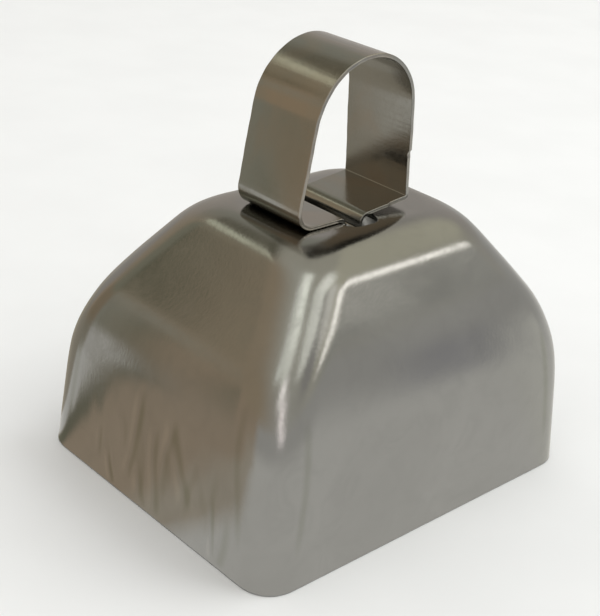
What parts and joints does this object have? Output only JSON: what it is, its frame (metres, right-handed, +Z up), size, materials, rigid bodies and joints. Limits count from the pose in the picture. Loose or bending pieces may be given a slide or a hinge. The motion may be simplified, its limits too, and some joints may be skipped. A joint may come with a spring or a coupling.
{
  "type": "cowbell",
  "caption": "Small drawn sheet-steel hand cowbell with a bent strip finger loop through a slot in the crown and a ball clapper swinging on a rivet inside.",
  "frame": {"origin": "centre of the rim's plane, on which the bell stands", "axes": "+Z up through the crown, X along the wide faces, -Y out of the front wide face"},
  "size_m": [0.076, 0.062, 0.0773],
  "materials": {
    "bell_steel": "bright rolled sheet, softly reflective, faint drawing lines",
    "strip_steel": "bright rolled strip with sheared edges",
    "rivet_steel": "plain bright rivet",
    "rod_steel": "drawn wire, dull bright",
    "ball_steel": "tumbled steel ball"
  },
  "bodies": {
    "bell": {"bell_shell": "bell_steel", "handle_strap": "strip_steel", "clapper_rivet": "rivet_steel"},
    "clapper": {"clapper_rod": "rod_steel", "clapper_ball": "ball_steel"}
  },
  "joints": [
    {"name": "clapper_swing", "type": "hinge", "parent": "bell", "child": "clapper", "pos_m": [-0.00263, 0, 0.041], "axis": [1, 0, 0], "range_deg": [-43.5, 43.5]}
  ]
}
